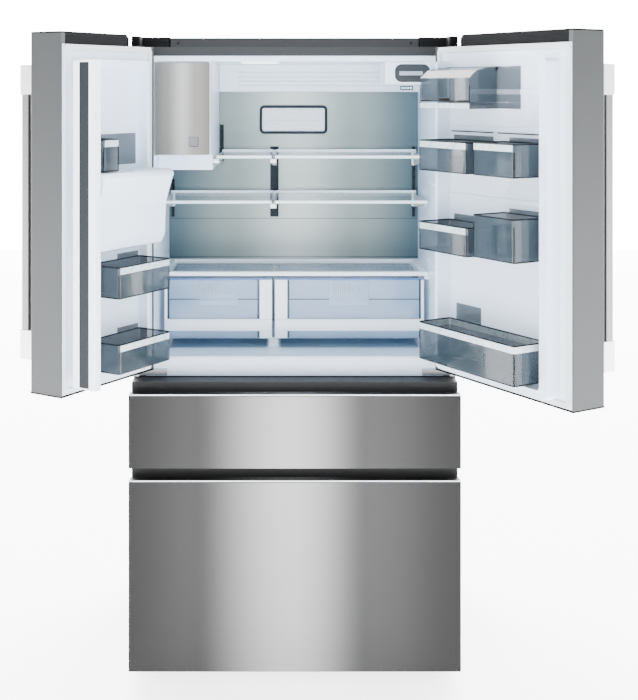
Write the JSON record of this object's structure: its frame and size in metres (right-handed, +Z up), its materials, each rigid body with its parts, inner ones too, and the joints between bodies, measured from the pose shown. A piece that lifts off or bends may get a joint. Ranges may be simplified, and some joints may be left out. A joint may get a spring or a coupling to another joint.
{
  "type": "french door refrigerator",
  "caption": "Freestanding refrigerator with two side-hinged upper doors, glass shelves, crispers, a folding mullion and two pull-out drawers below.",
  "frame": {"origin": "on the floor, on the centre line, under the outer face of the closed doors and drawers", "axes": "+Z up, +Y from the doors towards the back of the case, +X to the right as seen from the front"},
  "size_m": [1.5039, 1.1904, 1.777],
  "materials": {
    "painted_case": "satin",
    "foam": "matte",
    "white_liner": "satin",
    "dark_plastic": "matte",
    "black_plastic": "matte",
    "trim_plastic": "matte",
    "zinc_steel": "satin",
    "stainless": "brushed horizontally",
    "rear_steel": "satin",
    "ladder_steel": "satin",
    "arm_steel": "satin",
    "shelf_glass": "polished",
    "ice_grey": "satin",
    "clear_plastic": "polished",
    "smoky_plastic": "polished",
    "grey_plastic": "satin",
    "seal_rubber": "matte",
    "handle_steel": "satin",
    "chassis": "matte",
    "copper": "matte"
  },
  "bodies": {
    "cabinet": {"case_panels": "painted_case", "insulation": "foam", "fridge_liner": "white_liner", "drawer_liners": "white_liner", "crossbars": "trim_plastic", "top_trim": "trim_plastic", "hinge_covers": "dark_plastic", "door_hinges": "zinc_steel", "rear_wall_panel": "rear_steel", "duct_panel": "white_liner", "shelf_ladders": "ladder_steel", "shelf_brackets": "arm_steel", "shelf_glass": "shelf_glass", "shelf_trims": "white_liner", "crisper_rails": "white_liner", "ice_box": "white_liner", "ice_maker": "grey_plastic", "ice_bin": "clear_plastic", "filter_housing": "white_liner", "drawer_slides": "zinc_steel", "base_frame": "chassis", "toe_grille": "black_plastic", "levelling_legs": "zinc_steel", "compressor": "chassis", "condenser": "copper", "rear_ports": "black_plastic"},
    "left_door": {"left_door_skin": "stainless", "left_door_caps": "dark_plastic", "left_door_liner": "white_liner", "left_door_gasket": "seal_rubber", "left_door_bins": "smoky_plastic", "left_handle": "handle_steel", "dispenser_housing": "black_plastic"},
    "right_door": {"right_door_skin": "stainless", "right_door_caps": "dark_plastic", "right_door_liner": "white_liner", "right_door_gasket": "seal_rubber", "right_door_bins": "smoky_plastic", "right_handle": "handle_steel", "dairy_box": "smoky_plastic"},
    "mullion": {"mullion_bar": "white_liner", "mullion_strip": "rear_steel"},
    "flex_drawer": {"flex_front": "stainless", "flex_core": "black_plastic", "flex_bin": "white_liner"},
    "freezer_drawer": {"freezer_front": "stainless", "freezer_core": "black_plastic", "freezer_bin": "white_liner"},
    "flex_runners": {"flex_runners": "zinc_steel"},
    "freezer_runners": {"freezer_runners": "zinc_steel"},
    "freezer_basket": {"freezer_basket": "white_liner"},
    "crisper_left": {"crisper_left": "clear_plastic"},
    "crisper_right": {"crisper_right": "clear_plastic"},
    "ice_cover": {"ice_cover": "ice_grey"},
    "ice_button": {"ice_button": "ice_grey"},
    "filter_cartridge": {"filter_cartridge": "grey_plastic"},
    "rear_rollers": {"rear_rollers": "chassis"},
    "condenser_fan": {"condenser_fan": "black_plastic"},
    "dispenser_paddle": {"dispenser_paddle": "grey_plastic"},
    "dairy_lid": {"dairy_lid": "smoky_plastic"}
  },
  "joints": [
    {"name": "left_door_hinge", "type": "hinge", "parent": "cabinet", "child": "left_door", "pos_m": [-0.4416, 0.049, 0], "axis": [0, 0, -1], "range_deg": [-122, 8]},
    {"name": "right_door_hinge", "type": "hinge", "parent": "cabinet", "child": "right_door", "pos_m": [0.4416, 0.049, 0], "axis": [0, 0, 1], "range_deg": [-121, 9]},
    {"name": "mullion_fold", "type": "hinge", "parent": "left_door", "child": "mullion", "pos_m": [-0.54157, -0.27365, 0], "axis": [0, 0, 1], "range_deg": [-90, 0]},
    {"name": "flex_drawer_slide", "type": "slide", "parent": "cabinet", "child": "flex_drawer", "axis": [0, -1, 0], "range_m": [0, 0.4]},
    {"name": "freezer_drawer_slide", "type": "slide", "parent": "cabinet", "child": "freezer_drawer", "axis": [0, -1, 0], "range_m": [0, 0.36]},
    {"name": "flex_runner_slide", "type": "slide", "parent": "cabinet", "child": "flex_runners", "axis": [0, -1, 0], "range_m": [0, 0.2]},
    {"name": "freezer_runner_slide", "type": "slide", "parent": "cabinet", "child": "freezer_runners", "axis": [0, -1, 0], "range_m": [0, 0.18]},
    {"name": "freezer_basket_slide", "type": "slide", "parent": "freezer_drawer", "child": "freezer_basket", "axis": [0, 1, 0], "range_m": [0, 0.11]},
    {"name": "crisper_left_slide", "type": "slide", "parent": "cabinet", "child": "crisper_left", "axis": [0, -1, 0], "range_m": [0, 0.28]},
    {"name": "crisper_right_slide", "type": "slide", "parent": "cabinet", "child": "crisper_right", "axis": [0, -1, 0], "range_m": [0, 0.28]},
    {"name": "filter_slide", "type": "slide", "parent": "cabinet", "child": "filter_cartridge", "axis": [0, -1, 0], "range_m": [0, 0.15]},
    {"name": "ice_cover_hinge", "type": "hinge", "parent": "cabinet", "child": "ice_cover", "pos_m": [-0.394, 0.145, 0], "axis": [0, 0, -1], "range_deg": [0, 70]},
    {"name": "ice_button_press", "type": "slide", "parent": "ice_cover", "child": "ice_button", "axis": [0, 1, 0], "range_m": [0, 0.002], "stiffness_N_per_m": 800},
    {"name": "dispenser_paddle_press", "type": "hinge", "parent": "left_door", "child": "dispenser_paddle", "pos_m": [-0.51653, -0.10299, 1.2855], "axis": [-0.5299, -0.848, 0], "range_deg": [0, 12], "stiffness_Nm_per_rad": 0.8},
    {"name": "dairy_lid_hinge", "type": "hinge", "parent": "right_door", "child": "dairy_lid", "pos_m": [0.45865, -0.11295, 1.685], "axis": [-0.515, 0.8572, 0], "range_deg": [0, 75]},
    {"name": "rear_roller_spin", "type": "hinge", "parent": "cabinet", "child": "rear_rollers", "pos_m": [0, 0.673, 0.02], "axis": [1, 0, 0], "continuous": true},
    {"name": "condenser_fan_spin", "type": "hinge", "parent": "cabinet", "child": "condenser_fan", "pos_m": [-0.02, 0.595, 0.11], "axis": [1, 0, 0], "continuous": true}
  ],
  "couplings": [
    {"joint": "flex_runner_slide", "follows": "flex_drawer_slide", "ratio": 0.5},
    {"joint": "freezer_runner_slide", "follows": "freezer_drawer_slide", "ratio": 0.5}
  ]
}
